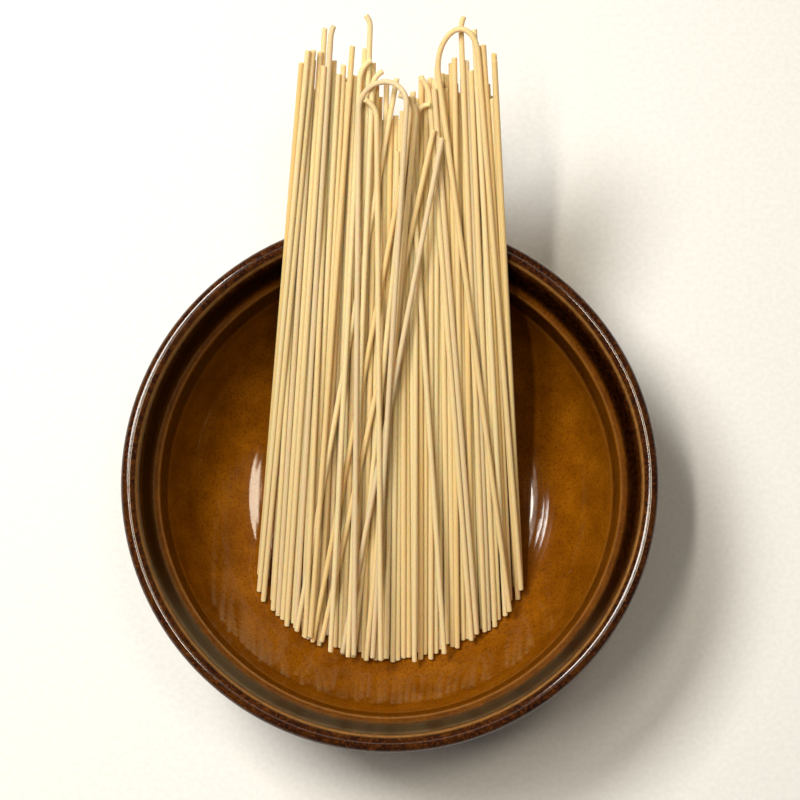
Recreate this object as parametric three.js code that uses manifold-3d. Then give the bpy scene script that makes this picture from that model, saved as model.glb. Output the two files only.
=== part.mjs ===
// A fan of dry spaghetti leaning in the round glazed stoneware bowl that holds it up.
// Millimetres, +Z up. The origin is the middle of the bowl's flat base. The cut tips of the
// strands stand on the foot of the bowl's wall at -Y, and the fan lies over the rim at +Y.
import * as THREE from "three";
import { mergeVertices } from "three/addons/utils/BufferGeometryUtils.js";
import Module from "manifold-3d";

// Driving sizes of the bowl.
const RIM_R = 98; // outside of the rim
const RIM_TOP = 78; // height of the bowl
const ROLL_R = 2.9; // the rim is a rounded roll, in section a circle of this radius
const COLLAR = { topR: 92.7, lowR: 88, lowZ: 62 }; // upright band inside, below the rim
const LEDGE = { outR: 87.4, inR: 86, z: 61.2 }; // the narrow step where the band ends
const WELL = { r: 85.6, top: 59, floor: 14, power: 6.5 }; // inside: a flat round, below the step
const BODY = { r: 91, top: 56.5, floor: 5, power: 4.2 }; // outside of the body
const FOOT = { r: 50, chamfer: 1.2 }; // turned flat base, slightly narrower than the body
const TURNS = 64; // facets round the bowl

// Driving sizes of the spaghetti.
const STRAND = 2.05; // diameter of one strand
const THICK = 6.4; // the fan is about three strands thick
const GAP = { tips: 0, rim: 0.65 }; // lifts that leave 0.3 mm between the ribs' corners and the bowl
const TIPS = { r: 64.2, setBack: 3, left: -50.9, right: 49.9 }; // the tips stand on this circle
const OVER_RIM = { r: 94.4, left: -38, right: 42.5 }; // where the strands cross the rim
const UPPER = 44; // strands that show from above
const LOWER = 34; // strands that show from below
const REACH = 60; // usual length of a strand beyond the rim
const EDGE_EXTRA = 5; // the strands at the two edges of the fan reach this much further
const DIP = 24; // and those in the middle, between its two halves, this much less

const RIB = 2.5; // a rib is a strand, widened to run into its neighbours where the fan is widest
const OVERLAP = 0.25; // the two layers of ribs share this much, so that they join
const BENT_SIDES = 6; // facets round a bent strand

const wasm = await Module();
wasm.setup();

// A closed three.js geometry as a manifold-3d solid, and back again.
function solid(geometry) {
  const bare = geometry.index ? geometry.toNonIndexed() : geometry.clone();
  bare.deleteAttribute("normal");
  bare.deleteAttribute("uv");
  const merged = mergeVertices(bare, 1e-4);
  return new wasm.Manifold(
    new wasm.Mesh({
      numProp: 3,
      vertProperties: new Float32Array(merged.attributes.position.array),
      triVerts: new Uint32Array(merged.index.array),
    }),
  );
}

function geometryOf(manifold) {
  const mesh = manifold.getMesh();
  const geometry = new THREE.BufferGeometry();
  geometry.setAttribute("position", new THREE.BufferAttribute(mesh.vertProperties, 3));
  geometry.setIndex(new THREE.BufferAttribute(mesh.triVerts, 1));
  return geometry;
}

// A round of the bowl's body: flat in the middle and steep at its edge, as a superellipse is.
function roundHeight({ r, top, floor, power }, radius) {
  return floor + (top - floor) * (1 - Math.sqrt(1 - Math.min(1, radius / r) ** power));
}

function roundProfile(round, fromR, toR, steps) {
  const points = [];
  for (let i = 0; i <= steps; i += 1) {
    // Steps crowd towards the steep edge by the sine.
    const share = Math.sin(((i / steps) * Math.PI) / 2);
    const radius = fromR + (toR - fromR) * share;
    points.push(new THREE.Vector2(radius, roundHeight(round, radius)));
  }
  return points;
}

// The bowl: one profile, up the outside, over the rolled rim and down the inside.
function bowlGeometry() {
  const rollR = RIM_R - ROLL_R;
  const rollZ = RIM_TOP - ROLL_R;
  const points = [new THREE.Vector2(0, 0)];
  points.push(new THREE.Vector2(FOOT.r - FOOT.chamfer, 0));
  points.push(new THREE.Vector2(FOOT.r, FOOT.chamfer));
  points.push(...roundProfile(BODY, FOOT.r + 1, BODY.r - 0.3, 9));
  points.push(new THREE.Vector2(BODY.r + 1.4, BODY.top + 1.6)); // foot of the outer band
  points.push(new THREE.Vector2(RIM_R - 1.4, rollZ - 2.2));
  const rollSteps = 8;
  for (let i = 0; i <= rollSteps; i += 1) {
    const turn = THREE.MathUtils.degToRad(-20 + (i / rollSteps) * 170);
    points.push(new THREE.Vector2(rollR + ROLL_R * Math.cos(turn), rollZ + ROLL_R * Math.sin(turn)));
  }
  points.push(new THREE.Vector2(COLLAR.topR - 0.6, rollZ - 0.4));
  points.push(new THREE.Vector2(COLLAR.lowR, COLLAR.lowZ));
  points.push(new THREE.Vector2(LEDGE.outR, LEDGE.z));
  points.push(new THREE.Vector2(LEDGE.inR, LEDGE.z - 0.2));
  points.push(...roundProfile(WELL, 0, WELL.r, 15).reverse());
  return new THREE.LatheGeometry(points, TURNS).rotateX(Math.PI / 2);
}

// The same throw of the dice for the same two numbers, from 0 to 1.
function chance(a, b) {
  const value = Math.sin(a * 12.9898 + b * 78.233) * 43758.5453;
  return value - Math.floor(value);
}

// The strand at a share of the fan's width, from 0 at the left to 1 at the right: it runs straight
// from its place on the circle of tips to where it crosses the rim, at mid thickness.
function strandLine(share, tipR) {
  const tipX = TIPS.left + (TIPS.right - TIPS.left) * share;
  const rimX = OVER_RIM.left + (OVER_RIM.right - OVER_RIM.left) * share;
  const tip = new THREE.Vector3(tipX, -Math.sqrt(tipR ** 2 - tipX ** 2), 0);
  const rim = new THREE.Vector3(rimX, Math.sqrt(OVER_RIM.r ** 2 - rimX ** 2), RIM_TOP);
  const slope = Math.atan2(RIM_TOP - WELL.floor, rim.distanceTo(tip));
  tip.z = roundHeight(WELL, tipR) + (GAP.tips + THICK / 2) / Math.cos(slope);
  rim.z += (GAP.rim + THICK / 2) / Math.cos(slope);
  const along = rim.clone().sub(tip).normalize();
  const across = new THREE.Vector3(0, 0, 1).cross(along).normalize().negate();
  const up = along.clone().cross(across).negate();
  return { tip, rim, along, across, up };
}

// How far a strand reaches beyond the rim: ragged all along, with a dip between the two halves.
function reachAt(share, layer) {
  const edges = EDGE_EXTRA * Math.abs(2 * share - 1) ** 4;
  const dip = DIP * Math.exp(-(((share - 0.5) / 0.07) ** 2));
  const ragged = 13 * (chance(Math.round(share * 97), layer) - 0.5);
  return REACH + edges - dip + ragged;
}

// One rib, from the tips to the ragged end, with its outer edges eased as a round strand's are.
function ribSolid(share, layer) {
  const upper = layer === 1;
  const line = strandLine(share, TIPS.r - (upper ? 0 : TIPS.setBack));
  const half = RIB / 2;
  const easy = STRAND * 0.3;
  const outer = upper ? THICK / 2 : -THICK / 2;
  const inner = upper ? -OVERLAP : OVERLAP;
  const rough = (upper ? -1 : 1) * 0.7 * chance(share * 31, layer + 5);
  const eased = outer - Math.sign(outer) * easy + rough;
  const outline = [
    new THREE.Vector2(-half, inner),
    new THREE.Vector2(half, inner),
    new THREE.Vector2(half, eased),
    new THREE.Vector2(half / 2, outer + rough),
    new THREE.Vector2(-half / 2, outer + rough),
    new THREE.Vector2(-half, eased),
  ];
  if (!upper) outline.reverse();
  const length = line.tip.distanceTo(line.rim) + reachAt(share, layer);
  const start = (upper ? 1.6 : 1) * (chance(share * 53, layer + 9) - 0.5);
  const geometry = new THREE.ExtrudeGeometry(new THREE.Shape(outline), {
    depth: length - start,
    bevelEnabled: false,
  });
  const place = new THREE.Matrix4().makeBasis(line.across.clone().negate(), line.up, line.along);
  place.setPosition(line.tip.clone().addScaledVector(line.along, start));
  return solid(geometry.applyMatrix4(place));
}

// A strand that was bent over its drying rod, or a hooked end: a tube along points that are given
// as sideways and forward steps from a place beyond the rim, on top of the fan.
function bentSolid(share, reach, steps) {
  const line = strandLine(share, TIPS.r);
  const origin = line.rim.clone().addScaledVector(line.along, reach);
  origin.addScaledVector(line.up, THICK / 2 - STRAND * 0.6);
  const points = steps.map(([side, forward]) =>
    origin.clone().addScaledVector(line.across, side).addScaledVector(line.along, forward),
  );
  const path = new THREE.CatmullRomCurve3(points);
  const section = new THREE.Shape(
    Array.from({ length: BENT_SIDES }, (_, i) => {
      const turn = (i / BENT_SIDES) * 2 * Math.PI;
      return new THREE.Vector2(Math.cos(turn), Math.sin(turn)).multiplyScalar(STRAND / 2);
    }),
  );
  const options = { steps: 2 * points.length + 2, extrudePath: path, bevelEnabled: false };
  return solid(new THREE.ExtrudeGeometry(section, options));
}

// An arch between two legs, its legs sunk into the ribs below it.
function arch(radius, legs) {
  const steps = [[-radius, -legs]];
  for (let i = 0; i <= 8; i += 1) {
    const turn = Math.PI * (1 - i / 8);
    steps.push([radius * Math.cos(turn), radius * Math.sin(turn)]);
  }
  steps.push([radius, -legs]);
  return steps;
}

// A strand that runs on and then curls to one side.
function hook(radius, legs, side, arc) {
  const steps = [[0, -legs]];
  for (let i = 0; i <= 4; i += 1) {
    const turn = (i / 4) * arc;
    steps.push([side * radius * (1 - Math.cos(turn)), radius * Math.sin(turn)]);
  }
  return steps;
}

function spaghettiGeometry() {
  let bundle = null;
  const join = (piece) => {
    bundle = bundle ? bundle.add(piece) : piece;
  };
  for (let i = 0; i < LOWER; i += 1) join(ribSolid(i / (LOWER - 1), 0));
  for (let i = 0; i < UPPER; i += 1) join(ribSolid(i / (UPPER - 1), 1));
  join(bentSolid(0.415, 41, arch(9, 14))); // the wide bend between the two halves
  join(bentSolid(0.79, 64, arch(8, 16))); // the bend that stands over the right half
  join(bentSolid(0.365, 70, hook(7, 22, -1, 0.9)));
  join(bentSolid(0.41, 52, hook(6, 22, 1, 1.2)));
  join(bentSolid(0.63, 46, hook(8, 16, -1, 1.1)));
  return geometryOf(bundle);
}

const glaze = new THREE.MeshStandardMaterial({ color: 0x5a3210, roughness: 0.18, metalness: 0 });
const pasta = new THREE.MeshStandardMaterial({ color: 0xe6c98e, roughness: 0.75, metalness: 0 });

const bowl = new THREE.Mesh(bowlGeometry(), glaze);
bowl.name = "bowl";

const bundle = new THREE.Mesh(spaghettiGeometry(), pasta);
bundle.name = "spaghetti_bundle";

const group = new THREE.Group();
group.add(bowl, bundle);

export default group;
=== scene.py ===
import math
import random

import bpy
import numpy as np
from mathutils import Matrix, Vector


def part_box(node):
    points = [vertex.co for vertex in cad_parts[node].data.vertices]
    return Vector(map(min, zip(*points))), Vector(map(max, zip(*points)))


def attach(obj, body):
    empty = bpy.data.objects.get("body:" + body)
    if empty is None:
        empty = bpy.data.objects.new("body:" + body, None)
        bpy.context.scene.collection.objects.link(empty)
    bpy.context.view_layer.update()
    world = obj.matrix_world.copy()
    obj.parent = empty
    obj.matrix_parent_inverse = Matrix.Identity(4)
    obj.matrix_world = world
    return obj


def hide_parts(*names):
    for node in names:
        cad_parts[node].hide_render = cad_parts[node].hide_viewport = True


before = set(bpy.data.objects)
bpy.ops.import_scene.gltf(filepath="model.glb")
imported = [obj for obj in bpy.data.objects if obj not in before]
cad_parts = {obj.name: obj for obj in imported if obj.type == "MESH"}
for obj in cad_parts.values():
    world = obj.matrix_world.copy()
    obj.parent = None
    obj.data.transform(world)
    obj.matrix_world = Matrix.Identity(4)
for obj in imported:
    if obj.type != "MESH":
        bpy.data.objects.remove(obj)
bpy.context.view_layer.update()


# ---------------------------------------------------------------------------------------------
# The bowl. A thrown stoneware bowl with a rolled rim, an upright band inside below it, a narrow
# step, and a deep round well. It was dipped in an iron-amber glaze that runs thin on the edges
# of the rim. The step, the band and the steep top of the well are painted darker as shade, the
# band also for its pooled glaze, and a painted lit line runs along the step's edge. The turned
# foot was wiped clean before firing.
# ---------------------------------------------------------------------------------------------

MM = 0.001
bowl_low, bowl_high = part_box("bowl")
RIM_R = bowl_high.x / MM
RIM_TOP = bowl_high.z / MM
ROLL_R = 2.9  # the roll of the rim, in section
ROLL_MID = (RIM_R - ROLL_R, RIM_TOP - ROLL_R)
FOOT_R = 50
WELL_R, WELL_TOP, WELL_FLOOR, WELL_POWER = 85.6, 59, 14, 6.5
BODY_R, BODY_TOP, BODY_FLOOR, BODY_POWER = 91, 56.5, 5, 4.2
BOWL_TURNS = 160
PROFILE_STEP = 1.6  # longest stretch between two points of the profile
PROFILE_EASE = 0.5  # how far from a corner of the profile its rounding starts


def round_height(radius, outer, top, floor, power):
    """Height of a superelliptic bowl at a radius: flat in the middle, upright at its edge."""
    share = min(1.0, radius / outer)
    return floor + (top - floor) * (1 - math.sqrt(1 - share**power))


def well_height(radius):
    return round_height(radius, WELL_R, WELL_TOP, WELL_FLOOR, WELL_POWER)


def round_points(start, end, steps, outer, top, floor, power):
    """Profile points of a superellipse, closer together where it turns upright."""
    radii = [start + (end - start) * math.sin(i / steps * math.pi / 2) for i in range(steps + 1)]
    return [(r, round_height(r, outer, top, floor, power)) for r in radii]


def soften(points, reach):
    """Rounds the corners of a profile: each corner becomes a short parabola."""
    out = [points[0]]
    for before, corner, after in zip(points, points[1:], points[2:]):
        a, c, b = Vector(before), Vector(corner), Vector(after)
        start = c + (a - c).normalized() * min(reach, (a - c).length * 0.45)
        end = c + (b - c).normalized() * min(reach, (b - c).length * 0.45)
        for i in range(5):
            t = i / 4
            out.append(tuple(start * (1 - t) ** 2 + c * 2 * t * (1 - t) + end * t**2))
    return out + [points[-1]]


def filled_in(points, longest):
    """Adds points so that no stretch of the profile is longer than the given length."""
    out = [points[0]]
    for a, b in zip(points, points[1:]):
        pieces = max(1, math.ceil(math.dist(a, b) / longest))
        out += [tuple(Vector(a).lerp(Vector(b), (i + 1) / pieces)) for i in range(pieces)]
    return out


def bowl_profile():
    """(radius, height) in mm, from the middle of the foot, over the rim, to the middle inside."""
    outside = [(0, 0), (FOOT_R - 1.2, 0), (FOOT_R, 1.2)]
    outside += round_points(FOOT_R + 1, BODY_R - 0.3, 26, BODY_R, BODY_TOP, BODY_FLOOR, BODY_POWER)
    outside += [(BODY_R + 1.4, BODY_TOP + 1.6), (RIM_R - 1.4, ROLL_MID[1] - 2.2)]
    roll = []
    for i in range(25):
        turn = math.radians(-20 + i / 24 * 170)
        roll.append((ROLL_MID[0] + ROLL_R * math.cos(turn), ROLL_MID[1] + ROLL_R * math.sin(turn)))
    inside = [(91.5, ROLL_MID[1] - 0.8), (88.0, 62.0), (87.2, 60.9), (86.1, 60.2)]
    well = round_points(0, WELL_R, 44, WELL_R, WELL_TOP, WELL_FLOOR, WELL_POWER)[::-1]
    return filled_in(soften(outside + roll + inside + well, PROFILE_EASE), PROFILE_STEP)


def new_object(name, vertices, faces, smooth_angle=50):
    mesh = bpy.data.meshes.new(name)
    mesh.from_pydata([tuple(v) for v in vertices], [], faces)
    mesh.validate()
    mesh.shade_smooth()
    mesh.set_sharp_from_angle(angle=math.radians(smooth_angle))
    made = bpy.data.objects.new(name, mesh)
    bpy.context.scene.collection.objects.link(made)
    return made


def spin(profile, turns):
    """Vertices and faces of a profile turned about Z. The first and last points are poles."""
    vertices = [(0, 0, profile[0][1] * MM)]
    inner = profile[1:-1]
    for radius, height in inner:
        for k in range(turns):
            angle = 2 * math.pi * k / turns
            vertices.append(
                (radius * MM * math.cos(angle), radius * MM * math.sin(angle), height * MM)
            )
    vertices.append((0, 0, profile[-1][1] * MM))
    top = len(vertices) - 1
    faces = []
    for k in range(turns):
        nxt = (k + 1) % turns
        faces.append((0, 1 + nxt, 1 + k))
        for row in range(len(inner) - 1):
            a, b = 1 + row * turns, 1 + (row + 1) * turns
            faces.append((a + k, a + nxt, b + nxt, b + k))
        last = 1 + (len(inner) - 1) * turns
        faces.append((last + k, last + nxt, top))
    return vertices, faces


profile = bowl_profile()
bowl = new_object("bowl_stoneware", *spin(profile, BOWL_TURNS))


def linear(hex_colour):
    """An sRGB hex colour as the linear RGBA that the nodes and lights take."""
    channels = [int(hex_colour[i : i + 2], 16) / 255 for i in (1, 3, 5)]
    bent = [c / 12.92 if c <= 0.04045 else ((c + 0.055) / 1.055) ** 2.4 for c in channels]
    return (*bent, 1.0)


def add_node(material, kind, links=None, inputs=None, **settings):
    """Adds one node, with its settings, its socket values and what is linked into its sockets."""
    tree = material.node_tree
    node = tree.nodes.new(kind)
    for name, value in settings.items():
        setattr(node, name, value)
    for socket, value in (inputs or {}).items():
        node.inputs[socket].default_value = value
    for socket, source in (links or {}).items():
        tree.links.new(source, node.inputs[socket])
    return node


MIX_A, MIX_B, MIX_OUT = 6, 7, 2  # the colour sockets of a Mix node


def new_material(name):
    material = bpy.data.materials.new(name)
    material.use_nodes = True
    material.node_tree.nodes.clear()
    return material


def set_ramp(node, stops):
    """Puts (place, colour) stops on a colour ramp."""
    ramp = node.color_ramp
    while len(ramp.elements) < len(stops):
        ramp.elements.new(0.5)
    for element, (place, colour) in zip(ramp.elements, stops):
        element.position = place
        element.color = colour
    return node


def grey(value):
    return (value, value, value, 1.0)


def paint(obj, name, values):
    """A number for each vertex, which the material reads by name."""
    attribute = obj.data.attributes.new(name, "FLOAT", "POINT")
    attribute.data.foreach_set("value", np.asarray(values, np.float32))


def between(value, start, end):
    """0 at the start, 1 at the end, and a straight line between them."""
    return min(1.0, max(0.0, (value - start) / (end - start)))


def glaze_masks():
    """The five glaze masks at each point of the profile, with painted light and shade among them.

    The glaze lies dark over the roll of the rim. The step and the band below the rim are painted
    dark, the step as shade and the band near black, for the glaze pooled there and as painted shade
    on that steep band. The glaze runs to gold on the inner lip, a painted lit line runs along the
    step's edge, the steep top of the well is painted dark as shade with a faint gold line below it,
    and the glaze stops short of the foot. Where it pools, and down the outside, it fired to a satin
    rather than a gloss.
    """
    dark, thin_and_lit, bare, pooled_and_shaded, satin = [], [], [], [], []
    outside = True
    for index, (radius, height) in enumerate(profile):
        if outside and height >= RIM_TOP - 0.01:
            outside = False
        if outside:
            here = 0.55 * between(height, 20, 50) + 0.45 * between(height, 56, 70)
            edge, pooling_and_shade = 0.0, 0.0
            dull = 0.42 * (1 - between(height, RIM_TOP - 2.2, RIM_TOP - 0.7))
        else:
            roll = between(radius, 90.6, 91.6)
            # Painted shade on the step, and on the band below the rim besides its darker glaze.
            band = 0.52 * between(height, 59.5, 60.1) + 0.43 * between(height, 61.0, 63.4)
            # Painted shade: the steep top of the well below the step is painted dark.
            groove_shade = 0.9 * between(height, 45.5, 47.5) * (1 - between(height, 58.0, 59.2))
            here = max(roll, band, groove_shade)
            lip = 0.8 * math.exp(-(((radius - 92.35) / 0.33) ** 2)) * between(height, 74.0, 74.8)
            # Painted light: a gold line along the step's edge, where the step catches light.
            step = 0.35 * math.exp(-(((radius - 86.0) / 0.35) ** 2)) * between(height, 59, 60)
            well_edge = 0.2 * math.exp(-(((height - 44.6) / 1.3) ** 2))
            edge = max(lip, step, well_edge)
            # Near black on the band below the rim: pooled glaze, and painted shade.
            pooling_and_shade = between(height, 61.8, 65.0) * (1 - between(height, 71.0, 74.2))
            dull = 0.2 * between(height, 59.6, 60.4) * (1 - between(height, 73.4, 74.4))
        repeats = 1 if index in (0, len(profile) - 1) else BOWL_TURNS
        dark += [here] * repeats
        thin_and_lit += [edge] * repeats
        bare += [1.0 if outside and height < 2.2 else 0.0] * repeats
        pooled_and_shaded += [pooling_and_shade] * repeats
        satin += [dull] * repeats
    return dark, thin_and_lit, bare, pooled_and_shaded, satin


for mask_name, mask in zip(("dark", "thin_and_lit", "bare", "pooled_and_shaded", "satin"), glaze_masks()):
    paint(bowl, mask_name, mask)


def amber_glaze():
    """Iron-amber glaze, dipped and fired: glassy, so it mirrors the strands and the windows. The
    brown under it is clouded and peppered with iron, and nearly black where it lies thickest. The
    step, the band below the rim and the steep top of the well are painted dark as shade, and the
    step's edge has a painted lit line."""
    material = new_material("iron_amber_glaze_dipped")
    place = add_node(material, "ShaderNodeTexCoord").outputs["Object"]

    def noise(size, detail=3.0, roughness=0.55):
        """Noise with features of a size in mm, in the bowl's own space."""
        return add_node(
            material,
            "ShaderNodeTexNoise",
            {"Vector": place},
            {"Scale": 1 / (size * MM), "Detail": detail, "Roughness": roughness},
        ).outputs["Fac"]

    def ramp(source, stops):
        made = add_node(material, "ShaderNodeValToRGB", {"Fac": source})
        return set_ramp(made, stops).outputs["Color"]

    def blend(factor, first, second):
        """Mixes two colours, each a socket or a fixed colour."""
        links, inputs = {0: factor}, {}
        for socket, colour in ((MIX_A, first), (MIX_B, second)):
            (inputs if isinstance(colour, tuple) else links)[socket] = colour
        mixed = add_node(material, "ShaderNodeMix", links, inputs, data_type="RGBA")
        return mixed.outputs[MIX_OUT]

    def mask(name):
        return add_node(material, "ShaderNodeAttribute", attribute_name=name).outputs["Fac"]

    # Clouds 12 mm across, where the dip ran thicker or thinner.
    body = ramp(
        noise(12, 4.0, 0.6),
        [(0.3, linear("#6E3C02")), (0.5, linear("#7F4804")), (0.7, linear("#8E5408"))],
    )
    # Iron pepper of about 0.5 mm, drawn a little coarser than real so that it shows.
    body = blend(ramp(noise(0.8, 2.0), [(0.5, grey(0)), (0.68, grey(0.6))]), body, linear("#4A2403"))
    # The thick dark glaze is broken by rusty grains, about 1 mm, on the roll of the rim.
    thick_and_shade = ramp(
        noise(1.2, 3.0, 0.7),
        [(0.35, linear("#1E0902")), (0.52, linear("#301304")), (0.7, linear("#63330C"))],
    )
    # Its edge wanders, so the mask is moved by the same kind of clouds.
    wander = add_node(
        material,
        "ShaderNodeMath",
        {0: mask("dark"), 1: ramp(noise(5), [(0.3, grey(0.78)), (0.7, grey(1.12))])},
        operation="MULTIPLY",
        use_clamp=True,
    ).outputs["Value"]
    # The dark mask lays this on the roll, and as painted shade on the step, band and well top.
    colour = blend(wander, body, thick_and_shade)
    # The band below the rim, near black: pooled glaze, and painted shade on that steep band.
    pooled_and_shade_colour = ramp(noise(1.6, 3.0, 0.7), [(0.4, linear("#0C0100")), (0.7, linear("#301504"))])
    colour = blend(mask("pooled_and_shaded"), colour, pooled_and_shade_colour)
    # Gold on the inner lip, where the glaze runs thin, and a painted lit line on the step's edge.
    gold_thin_and_lit = add_node(
        material,
        "ShaderNodeMath",
        {0: mask("thin_and_lit"), 1: ramp(noise(2.2), [(0.3, grey(0.55)), (0.65, grey(1.0))])},
        operation="MULTIPLY",
    ).outputs["Value"]
    colour = blend(gold_thin_and_lit, colour, linear("#B57F3E"))
    clay = ramp(noise(0.8), [(0.3, linear("#9A7350")), (0.7, linear("#B58C66"))])
    colour = blend(mask("bare"), colour, clay)

    # Orange-peel skin of the glaze, 2.5 mm across and very shallow: it breaks the highlights.
    skin = add_node(
        material,
        "ShaderNodeBump",
        {"Height": noise(2.6, 1.5)},
        {"Strength": 0.06, "Distance": 0.0002},
    ).outputs["Normal"]
    # Thin glaze is duller than thick, satin glaze more so, and bare clay is matt.
    rough = mask("satin")
    for name in ("thin_and_lit", "bare"):
        rough = add_node(
            material,
            "ShaderNodeMath",
            {0: rough, 1: mask(name)},
            operation="ADD",
            use_clamp=True,
        ).outputs["Value"]
    rough = add_node(
        material, "ShaderNodeMapRange", {"Value": rough}, {"To Min": 0.08, "To Max": 0.8}
    ).outputs["Result"]
    # The pooled glaze is crusted with fine crystals, which take most of its mirror away.
    mirror = add_node(
        material, "ShaderNodeMapRange", {"Value": mask("pooled_and_shaded")}, {"To Min": 0.42, "To Max": 0.1}
    ).outputs["Result"]
    surface = add_node(
        material,
        "ShaderNodeBsdfPrincipled",
        {"Base Color": colour, "Normal": skin, "Roughness": rough, "Specular IOR Level": mirror},
        {"IOR": 1.48},
    )
    add_node(material, "ShaderNodeOutputMaterial", {"Surface": surface.outputs["BSDF"]})
    return material


bowl.data.materials.append(amber_glaze())
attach(bowl, "root")
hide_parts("bowl")


# ---------------------------------------------------------------------------------------------
# The straight spaghetti. Strands of durum dough pressed through a rough die, dried hanging over
# a rod and cut: about 2 mm thick and 22 cm long, pale, matt and floury. They are loose. The cut
# tips stand on the foot of the well's wall, and the fan rests on the rim.
# ---------------------------------------------------------------------------------------------

STRAND = 2.05
STRAND_R = STRAND / 2
TIPS_R = 60.5  # the lowest tips stand on this circle, and higher ones slide down further out
TIPS_TOP_R = 64.0  # but no further than this, where their neighbours hold them
TIP_SPAN = (-51.2, 50.8)  # the fan's width at its tips
RIM_SPAN = (-38.0, 41.8)  # and where it crosses the rim
OVER_RIM_RUN = 0.935  # run along Y for each mm of a strand beyond the rim
STEEP = 0.372  # rise of the fan over its run
BURIED = 30  # strands in each of the two buried layers
FILLERS = 47  # places at which a strand may fill a hole between the tips that show
HOLE = 1.35  # a hole has no such tip nearer than this
LAYER_RISE = 2.6  # how far apart the layers start, before the heap sinks together
DYING_SINK, STEADY_SINK = 0.22, 0.01  # a round's sinking: a part that dies away, and one that stays
PUSH = 1.5  # a strand is pushed this many times half its mean overlap with its neighbours
SLIDE_STEP = 0.1  # a tip slides towards the wall in steps of this
MOST_SLIDES = 9  # and in no more steps than this
STATIONS = np.arange(-70.0, 172.0, 6.0)  # places along Y at which the strands are compared
dice = random.Random(11)


def fan_line(share):
    """X of the tip and of the crossing, for a share from 0 at the left edge to 1 at the right."""
    return [low + (high - low) * share for low, high in (TIP_SPAN, RIM_SPAN)]


class Strand:
    """One strand's plan: where its tip, its crossing and its upper end lie, and its layer."""

    def __init__(self, tip_x, rim_x, reach, layer, hold=0.02, bow=0.0):
        self.tip_x, self.rim_x, self.reach, self.layer = tip_x, rim_x, reach, layer
        self.hold, self.bow = hold, bow
        self.tone = dice.random()
        self.uneven = dice.gauss(0, 0.6)  # the tips weren't tapped quite even
        self.radius = STRAND_R * dice.uniform(0.955, 1.0)

    def ends(self):
        tip_r = min(TIPS_R + 2.1 * self.layer, TIPS_TOP_R) + self.uneven
        # The outermost strands stand a little further back, where the wall turns inwards.
        tip_r -= 2.2 * (abs(self.tip_x) / 51) ** 8
        tip_y = -math.sqrt(tip_r**2 - self.tip_x**2)
        rim_y = math.sqrt(ROLL_MID[0] ** 2 - self.rim_x**2)
        return tip_y, rim_y, rim_y + self.reach * OVER_RIM_RUN


plans = []


def ragged_strand(share, layer):
    """A strand whose upper end isn't seen alone: shorter between the two halves of the fan."""
    tip_x, rim_x = fan_line(share)
    dip = math.exp(-(((share - 0.5) / 0.085) ** 2))
    reach = 57 - 24 * dip + dice.gauss(0, 2.6) - 2.5 * (2 - layer)
    turn = dice.gauss(0, 0.4 + 0.6 * dip * layer)
    return Strand(tip_x - turn, rim_x + turn, reach, layer, bow=dice.gauss(0, 0.35))


# Two buried layers, each spread over the fan with uneven steps.
for layer in (0, 1):
    for i in range(BURIED):
        plans.append(ragged_strand((i + 0.5 + dice.uniform(-0.25, 0.25)) / BURIED, layer))

# Strands whose ends stand out of the ragged edge, by their share of the fan and their reach.
for share, reach in (
    (-0.01, 63.5), (0.01, 66.5), (0.035, 66.0), (0.075, 62.0), (0.10, 64.5), (0.125, 72.5),
    (0.112, 59.5), (0.18, 58.5), (0.20, 55.0), (0.23, 52.0), (0.33, 63.0), (0.445, 51.0),
    (0.425, 37.5), (0.468, 37.0), (0.487, 39.5), (0.507, 26.0), (0.663, 47.0), (0.75, 60.0),
    (0.786, 61.0), (0.862, 62.0), (0.935, 75.0), (0.95, 70.0), (0.975, 69.5), (0.995, 67.5),
    (1.01, 65.5), (0.744, 50.0), (0.64, 42.5), (0.56, 36.0),
):
    tip_x, rim_x = fan_line(share)
    plans.append(Strand(tip_x, rim_x, reach, 2.6, hold=0.06))

# Strands that were laid across the fan last, by the X of the tip and of the crossing.
for tip_x, rim_x, reach, layer in (
    (-31.5, -18.5, 65.0, 3.0),
    (-19.0, 13.5, 30.0, 3.6),
    (-30.0, 1.6, 35.0, 3.2),
    (-26.0, 9.0, 33.0, 3.0),
    (-36.0, -7.0, 52.0, 3.0),
    (-14.0, 3.5, 44.0, 3.2),
    (21.0, 9.0, 38.0, 3.0),
    (34.0, 19.5, 50.0, 3.2),
):
    plans.append(Strand(tip_x, rim_x, reach, layer, hold=0.12))

# Strands with a bent upper end. Their bends are modelled in the next section.
bent = {
    "arch_left": Strand(-13.8, -11.7, 41.0, 4.2, hold=0.3),
    "arch_right": Strand(-7.2, 3.6, 38.5, 4.2, hold=0.3),
    "arch_second": Strand(-9.0, 6.0, 36.0, 3.6, hold=0.3),
    "beside_arch": Strand(-3.3, -4.4, 36.0, 4.2, hold=0.3),
    "high_arch_left": Strand(46.0, 25.2, 56.0, 4.0, hold=0.3),
    "high_arch_right": Strand(50.6, 37.8, 66.0, 3.4, hold=0.3),
    "tall_hook": Strand(-15.2, -9.2, 70.0, 3.4, hold=0.2),
    "left_curl": Strand(-23.0, -13.5, 52.0, 3.4, hold=0.2),
    "middle_curl": Strand(-16.0, -8.6, 48.0, 3.4, hold=0.2),
    "right_curl": Strand(31.0, 18.6, 47.0, 3.2, hold=0.2),
    "small_curl": Strand(8.0, 9.3, 38.0, 3.0, hold=0.2),
    "tall_left": Strand(-37.2, -26.0, 68.0, 3.0, hold=0.2),
    "tall_right": Strand(37.0, 29.0, 72.0, 3.0, hold=0.2),
}
# Strands that fill the holes which those leave between the tips, so that no bare strip shows.
seen = [plan.tip_x for plan in [*plans[2 * BURIED :], *bent.values()]]
for i in range(FILLERS):
    share = (i + 0.5) / FILLERS
    if min(abs(fan_line(share)[0] - tip_x) for tip_x in seen) > HOLE:
        plans.append(ragged_strand(share, 2))

plans += bent.values()


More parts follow.
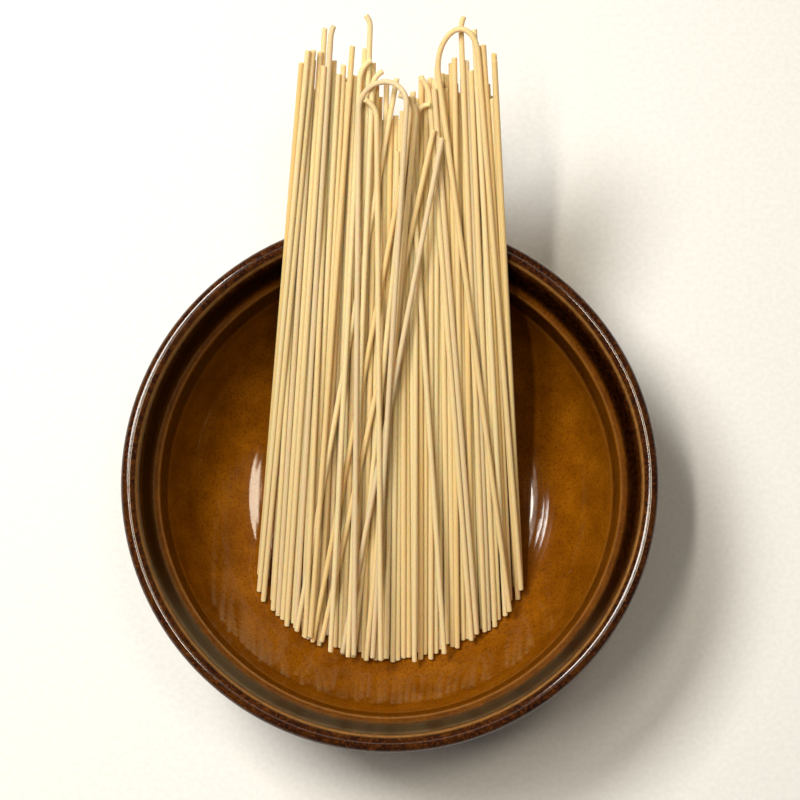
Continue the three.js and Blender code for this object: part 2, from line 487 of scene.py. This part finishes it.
def settle(plans, rounds=260):
    """Lets the heap come to rest: every strand sinks, and is pushed off its neighbours, the bowl
    and the rim. Each stays nearly straight: it moves as a rod that can bow a little."""
    count = len(plans)
    middle, half = (STATIONS[0] + STATIONS[-1]) / 2, (STATIONS[-1] - STATIONS[0]) / 2
    along = (STATIONS - middle) / half
    shapes = np.stack([np.ones_like(along), along, along**2 - 1 / 3])
    stiffness = np.diag([0.02, 0.02, 45.0])  # a rod shifts and turns freely but hardly bows
    ends = np.array([plan.ends() for plan in plans])
    tip_x = np.array([plan.tip_x for plan in plans])
    rim_x = np.array([plan.rim_x for plan in plans])
    lean = (rim_x - tip_x) / (ends[:, 1] - ends[:, 0])
    bow = np.array([plan.bow for plan in plans])
    hold = np.array([plan.hold for plan in plans])[:, None]
    goal = tip_x[:, None] + lean[:, None] * (STATIONS - ends[:, :1]) - bow[:, None] * shapes[2]
    tip_r = np.hypot(tip_x, ends[:, 0])
    upright = math.cos(math.atan(STEEP))
    tip_floor = np.array([well_height(r) for r in tip_r]) + STRAND_R / upright + 0.15
    rim_floor = np.full(count, ROLL_MID[1] + (ROLL_R + STRAND_R + 0.04) / upright)
    layer = np.array([plan.layer for plan in plans])
    rise = (rim_floor - tip_floor) / (ends[:, 1] - ends[:, 0])
    # The sides of the fan run straight on from the tips, past the rim, to the upper ends.
    onward = (ends[:, 2] - ends[:, 0]) / (ends[:, 1] - ends[:, 0])
    top_span = [tip + (rim - tip) * onward for tip, rim in zip(TIP_SPAN, RIM_SPAN)]
    x = goal.copy()
    z = tip_floor[:, None] + rise[:, None] * (STATIONS - ends[:, :1])
    z += LAYER_RISE * layer[:, None]
    used = (STATIONS > ends[:, :1] - 4) & (STATIONS < ends[:, 2:] + 4)
    pairs = used[:, None, :] & used[None, :, :] & ~np.eye(count, dtype=bool)[:, :, None]

    def moved(push, weight):
        """The rod-like move that best follows the pushes at the stations."""
        rows = np.einsum("nk,ak,bk->nab", weight, shapes, shapes) + stiffness
        wanted = np.einsum("nk,nk,ak->na", weight, push, shapes)
        return np.linalg.solve(rows, wanted[:, :, None])[:, :, 0] @ shapes

    for turn in range(rounds):
        calm = 1 - turn / rounds  # it sinks less and less
        z -= DYING_SINK * calm + STEADY_SINK
        x += hold * (goal - x) * 0.5
        for _ in range(2):
            dx = (x[:, None, :] - x[None, :, :]).astype(np.float32)
            dz = ((z[:, None, :] - z[None, :, :]) * upright).astype(np.float32)
            apart = np.sqrt(dx * dx + dz * dz) + 1e-4
            push = np.where(pairs & (apart < STRAND), (STRAND - apart) / apart * 0.5, 0)
            touching = np.maximum(1, (push > 0).sum(1))
            weight = 0.04 + (push > 0).any(1)
            x += moved((push * dx).sum(1) / touching * PUSH, weight)
            z += moved((push * dz).sum(1) / touching * PUSH / upright, weight)
        at_tip = np.array([np.interp(ends[i, 0], STATIONS, z[i]) for i in range(count)])
        at_rim = np.array([np.interp(ends[i, 1], STATIONS, z[i]) for i in range(count)])
        lift_tip = np.maximum(0, tip_floor - at_tip)
        lift_rim = np.maximum(0, rim_floor - at_rim)
        share = (STATIONS - ends[:, :1]) / (ends[:, 1:2] - ends[:, :1])
        z += lift_tip[:, None] * (1 - share) + lift_rim[:, None] * share
        side_tip = np.array([np.interp(ends[i, 0], STATIONS, x[i]) for i in range(count)])
        side_top = np.array([np.interp(ends[i, 2], STATIONS, x[i]) for i in range(count)])
        side_tip = np.clip(side_tip, *TIP_SPAN) - side_tip
        side_top = np.clip(side_top, *top_span) - side_top
        share = (STATIONS - ends[:, :1]) / (ends[:, 2:] - ends[:, :1])
        x += side_tip[:, None] * (1 - share) + side_top[:, None] * share
    return x, z, ends


laid_x, laid_z, laid_ends = settle(plans)


def slid_down(index):
    """The strand's own ends, once it has slid along itself until its tip meets the wall. One
    that lies too high to meet it stops after the last step."""
    tip_y, _, end_y = laid_ends[index]
    for _ in range(MOST_SLIDES):
        x, z = (np.interp(tip_y - SLIDE_STEP, STATIONS, laid[index]) for laid in (laid_x, laid_z))
        if z - STRAND_R * 1.1 < well_height(math.hypot(x, tip_y - 0.5)):
            break
        tip_y, end_y = tip_y - SLIDE_STEP, end_y - SLIDE_STEP
    return tip_y, end_y


def axis_points(index, spacing=7.0):
    """Points along a laid strand, in mm, from its tip to its upper end."""
    tip_y, end_y = slid_down(index)
    ys = np.linspace(tip_y, end_y, max(3, int((end_y - tip_y) / spacing)))
    middle, half = STATIONS.mean(), np.ptp(STATIONS) / 2
    xs, zs = (
        np.polyval(np.polyfit((STATIONS - middle) / half, laid[index], 2), (ys - middle) / half)
        for laid in (laid_x, laid_z)
    )
    return [Vector((x, y, z)) for x, y, z in zip(xs, ys, zs)]


class StrandMesh:
    """Tubes with flat cut ends, joined into one mesh, that remember each strand's own shade."""

    SIDES = 12
    BEVEL = 0.14

    def __init__(self):
        self.vertices, self.faces = [], []
        self.tone, self.along = [], []

    def add_ring(self, centre, side, up, radius, tone, place, slant=(0, 0), ahead=None):
        for k in range(self.SIDES):
            turn = 2 * math.pi * k / self.SIDES
            a, b = math.cos(turn), math.sin(turn)
            spot = centre + (side * a + up * b) * radius
            if ahead is not None:
                spot += ahead * (a * slant[0] + b * slant[1]) * radius
            self.vertices.append(spot * MM)
            self.tone.append(tone)
            self.along.append(place)

    def add(self, points, radius, tone):
        first, side, length = len(self.vertices), Vector((1, 0, 0)), 0.0
        slant = (dice.uniform(-0.14, 0.14), dice.uniform(-0.14, 0.14))
        rings = []
        for i, point in enumerate(points):
            ahead = (points[min(i + 1, len(points) - 1)] - points[max(i - 1, 0)]).normalized()
            side = (side - ahead * side.dot(ahead)).normalized()
            if i:
                length += (point - points[i - 1]).length
            swell = radius * (1 + 0.010 * math.sin(length * 0.09 + tone * 40))
            rings.append((point, side, ahead.cross(side), swell, length, ahead))
        for i, (point, side, up, swell, place, ahead) in enumerate(rings):
            cut = {0: 1, len(rings) - 1: -1}.get(i)
            if cut == 1:
                self.add_ring(point, side, up, swell * 0.87, tone, place, slant, ahead)
                self.add_ring(point + ahead * self.BEVEL, side, up, swell, tone, place, slant, ahead)
            elif cut == -1:
                self.add_ring(point - ahead * self.BEVEL, side, up, swell, tone, place, slant, ahead)
                self.add_ring(point, side, up, swell * 0.87, tone, place, slant, ahead)
            else:
                self.add_ring(point, side, up, swell, tone, place)
        n, count = self.SIDES, len(rings) + 2
        for row in range(count - 1):
            a = first + row * n
            for k in range(n):
                nxt = (k + 1) % n
                self.faces.append((a + k, a + nxt, a + n + nxt, a + n + k))
        self.faces.append(tuple(first + k for k in reversed(range(n))))
        self.faces.append(tuple(first + (count - 1) * n + k for k in range(n)))

    def finish(self, name):
        made = new_object(name, self.vertices, self.faces, smooth_angle=35)
        paint(made, "tone", self.tone)
        paint(made, "along", self.along)
        return made


straight = StrandMesh()
FIRST_BENT = len(plans) - len(bent)
for index, plan in enumerate(plans[:FIRST_BENT]):
    straight.add(axis_points(index), plan.radius, plan.tone)
strands = straight.finish("spaghetti_straight")


def durum_dough():
    """Dried durum dough, pressed through a rough die: matt and pale, with a fine floury grain. A
    little light enters it, which keeps the gaps between the strands golden rather than black."""
    material = new_material("durum_dough_dried")
    place = add_node(material, "ShaderNodeTexCoord").outputs["Object"]
    tone = add_node(material, "ShaderNodeAttribute", attribute_name="tone").outputs["Fac"]
    shade = set_ramp(
        add_node(material, "ShaderNodeValToRGB", {"Fac": tone}),
        [
            (0.0, linear("#E4CB98")),
            (0.3, linear("#E8D4A5")),
            (0.6, linear("#E5CC98")),
            (0.85, linear("#E0C182")),
            (1.0, linear("#DDC9A3")),
        ],
    ).outputs["Color"]
    # Floury grain: real flecks are about 0.3 mm, drawn at 0.6 mm so that they show.
    grain = add_node(
        material,
        "ShaderNodeTexNoise",
        {"Vector": place},
        {"Scale": 1 / (0.6 * MM), "Detail": 3.0, "Roughness": 0.7},
    ).outputs["Fac"]
    flecks = set_ramp(
        add_node(material, "ShaderNodeValToRGB", {"Fac": grain}),
        [(0.3, grey(0.90)), (0.5, grey(0.97)), (0.68, grey(1.0))],
    ).outputs["Color"]
    dusted = add_node(
        material,
        "ShaderNodeMix",
        {MIX_A: shade, MIX_B: flecks},
        {0: 1.0},
        data_type="RGBA",
        blend_type="MULTIPLY",
    ).outputs[MIX_OUT]
    rough = add_node(
        material, "ShaderNodeBump", {"Height": grain}, {"Strength": 0.25, "Distance": 0.0001}
    ).outputs["Normal"]
    surface = add_node(
        material,
        "ShaderNodeBsdfPrincipled",
        {"Base Color": dusted, "Normal": rough},
        {
            "Roughness": 0.6,
            "IOR": 1.4,
            "Specular IOR Level": 0.35,
            "Sheen Weight": 0.3,
            "Sheen Roughness": 0.4,
            "Sheen Tint": linear("#FFE9BE"),
            "Subsurface Weight": 0.8,
        },
    )
    surface.inputs["Subsurface Radius"].default_value = (1.0, 0.55, 0.22)
    surface.inputs["Subsurface Scale"].default_value = 0.002
    add_node(material, "ShaderNodeOutputMaterial", {"Surface": surface.outputs["BSDF"]})
    return material


dough = durum_dough()
strands.data.materials.append(dough)
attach(strands, "root")
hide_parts("spaghetti_bundle")


# ---------------------------------------------------------------------------------------------
# The bent spaghetti. Where a strand hung over the drying rod it dried as an arch with both legs
# on, and strands next to the rod kept a hooked end. The same dough, left uncut at the bend.
# ---------------------------------------------------------------------------------------------

LIFT_STEP = 0.3  # a bend is lifted off its neighbours in steps of this
MOST_LIFTS = 20  # and in no more steps than this
LIFTED_STEPS = 3  # points at the end of a strand over which it lifts
LANE_STEP = 1.0  # spacing of the points that stand for a laid strand
CLEAR = 0.97 * STRAND  # a bend is clear of its neighbours when its axis is this far from theirs

lanes = [np.array(filled_in(axis_points(index), LANE_STEP)) for index in range(len(plans))]


def lifted(points, lift):
    """The strand with its last steps raised smoothly off the heap."""
    out = []
    for i, point in enumerate(points):
        share = between(i, len(points) - 1 - LIFTED_STEPS, len(points) - 1)
        out.append(point + Vector((0, 0, lift * share**2 * (3 - 2 * share))))
    return out


def laid_clear(names, bend):
    """Lays a bend of one or two named strands on its neighbours. It takes the least lift that
    clears them all or, where none of the lifts does, the one that comes nearest to it."""
    own = [FIRST_BENT + list(bent).index(name) for name in names]
    start = min(axis_points(index)[-1 - LIFTED_STEPS].y for index in own)
    near = np.concatenate([lane for index, lane in enumerate(lanes) if index not in own])
    near = near[near[:, 1] > start - 3]
    best, best_gap = None, -1.0
    for step in range(MOST_LIFTS):
        made = bend(*[lifted(axis_points(index), step * LIFT_STEP) for index in own])
        spots = np.array(filled_in(made, LANE_STEP))
        top = spots[spots[:, 1] > start]
        beside = near[np.abs(near[:, 0] - top[:, 0].mean()) < np.ptp(top[:, 0]) + 5]
        gap = np.linalg.norm(top[:, None] - beside[None], axis=2).min()
        if gap > best_gap + 0.02:
            best, best_gap = (made, spots), gap
        if gap > CLEAR:
            break
    lanes[own[0]] = best[1]
    return best[0]


def curled(points, side, radius, degrees):
    """A strand whose upper end curls to one side, through an angle."""
    ahead = (points[-1] - points[-2]).normalized()
    across = ahead.cross(Vector((0, 0, 1))).normalized() * side
    out, start = list(points), points[-1]
    steps = max(3, int(radius * math.radians(degrees) / 1.3))
    for i in range(1, steps + 1):
        turn = math.radians(degrees) * i / steps
        out.append(
            start + across * radius * (1 - math.cos(turn)) + ahead * radius * math.sin(turn)
        )
    return out


def arched(left, right, height):
    """Two legs of one strand, joined over the place where the rod was."""
    middle, half = (left[-1] + right[-1]) / 2, (right[-1] - left[-1]) / 2
    ahead = ((left[-1] - left[-2]).normalized() + (right[-1] - right[-2]).normalized()) / 2
    arc = []
    for i in range(1, 22):
        turn = math.pi * (1 - i / 22)
        arc.append(middle + half * math.cos(turn) + ahead * height * math.sin(turn))
    return left + arc + right[::-1]


bent_mesh = StrandMesh()
for names, bend in (
    (["arch_left", "arch_right"], lambda left, right: arched(left, right, 9.0)),
    (["high_arch_left", "high_arch_right"], lambda left, right: arched(left, right, 11.5)),
    (["arch_second"], lambda points: curled(points, -1, 7.5, 85)),
    (["beside_arch"], lambda points: curled(points, -1, 8.0, 62)),
    (["tall_hook"], lambda points: curled(points, -1, 5.0, 50)),
    (["left_curl"], lambda points: curled(points, 1, 9.0, 55)),
    (["middle_curl"], lambda points: curled(points, 1, 7.0, 60)),
    (["right_curl"], lambda points: curled(points, -1, 11.0, 40)),
    (["small_curl"], lambda points: curled(points, 1, 4.5, 95)),
    (["tall_left"], lambda points: curled(points, 1, 16.0, 18)),
    (["tall_right"], lambda points: curled(points, 1, 12.0, 25)),
):
    plan = bent[names[0]]
    bent_mesh.add(laid_clear(names, bend), plan.radius, plan.tone)
bends = bent_mesh.finish("spaghetti_bent")
bends.data.materials.append(dough)
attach(bends, "root")
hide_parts("spaghetti_bundle")


# ---------------------------------------------------------------------------------------------
# The floor, the light and the camera: a plain pale paper floor, and a large window from the left
# and behind, with its narrow near edge, a weak warm panel on the right and a faint ceiling. The
# camera looks almost straight down.
# ---------------------------------------------------------------------------------------------

FLOOR_HALF = 3.0  # metres
FLOOR_DROP = 0.0002  # the floor lies this far below the foot, so that the two don't flicker
corners = [(-1, -1), (1, -1), (1, 1), (-1, 1)]
floor = new_object(
    "floor", [(x * FLOOR_HALF, y * FLOOR_HALF, 0) for x, y in corners], [(0, 1, 2, 3)]
)
floor.location.z = -FLOOR_DROP
# Matt paper: its fibres, drawn 2 mm across, show as the faintest grain.
floor_material = new_material("pale_paper_floor")
fibres = add_node(
    floor_material,
    "ShaderNodeTexNoise",
    {"Vector": add_node(floor_material, "ShaderNodeTexCoord").outputs["Object"]},
    {"Scale": 1 / (2 * MM), "Detail": 3.0},
).outputs["Fac"]
paper = set_ramp(
    add_node(floor_material, "ShaderNodeValToRGB", {"Fac": fibres}),
    [(0.35, linear("#EAEAE8")), (0.65, linear("#F0F0EE"))],
).outputs["Color"]
floor_surface = add_node(
    floor_material, "ShaderNodeBsdfPrincipled", {"Base Color": paper}, {"Roughness": 0.8}
)
add_node(
    floor_material, "ShaderNodeOutputMaterial", {"Surface": floor_surface.outputs["BSDF"]}
)
floor.data.materials.append(floor_material)


def soft_light(name, place, aim, width, height, power, colour="#FFFFFF"):
    data = bpy.data.lights.new(name, "AREA")
    data.shape = "RECTANGLE"
    data.size, data.size_y = width, height
    data.energy = power
    data.color = linear(colour)[:3]
    light = bpy.data.objects.new(name, data)
    light.location = place
    light.rotation_euler = (Vector(aim) - Vector(place)).to_track_quat("-Z", "Y").to_euler()
    bpy.context.scene.collection.objects.link(light)
    return light


middle = (0, 0, 0.06)  # the window aims at the fan inside the bowl
soft_light("window_left", (-0.47, 0.36, 1.08), middle, 0.44, 0.30, 12.9, "#FFFCF6")
soft_light("window_edge", (-0.228, 0.06, 1.05), (-0.1, 0.06, 0), 0.34, 0.045, 3.3, "#FFF6E4")
soft_light("panel_right", (0.135, 0.10, 1.05), (0.05, 0.10, 0), 0.15, 0.14, 1.4, "#FFEFD2")
soft_light("ceiling", (-0.1, 0.1, 1.08), (-0.1, 0.1, 0), 0.32, 0.28, 0.4, "#FFF6EA")

world = bpy.data.worlds.new("studio")
world.use_nodes = True
world.node_tree.nodes["Background"].inputs["Color"].default_value = linear("#F2EDE6")
world.node_tree.nodes["Background"].inputs["Strength"].default_value = 0.11
bpy.context.scene.world = world
bpy.context.scene.view_settings.view_transform = "Standard"

CAMERA_ELEVATION = math.radians(84)
CAMERA_DISTANCE = 0.700  # from the middle of the rim
CAMERA_ASIDE = 0.0037  # metres to the right of the bowl's middle
CAMERA_AHEAD = 0.0289  # metres behind the bowl's middle, where it aims
camera_data = bpy.data.cameras.new("camera")
camera_data.lens = 86.7
camera_data.sensor_width = 36
camera = bpy.data.objects.new("camera", camera_data)
camera.location = (
    CAMERA_ASIDE,
    -CAMERA_DISTANCE * math.cos(CAMERA_ELEVATION),
    bowl_high.z + CAMERA_DISTANCE * math.sin(CAMERA_ELEVATION),
)
camera_aim = Vector((CAMERA_ASIDE, CAMERA_AHEAD, bowl_high.z))
camera.rotation_euler = (camera_aim - camera.location).to_track_quat("-Z", "Y").to_euler()
bpy.context.scene.collection.objects.link(camera)
bpy.context.scene.camera = camera
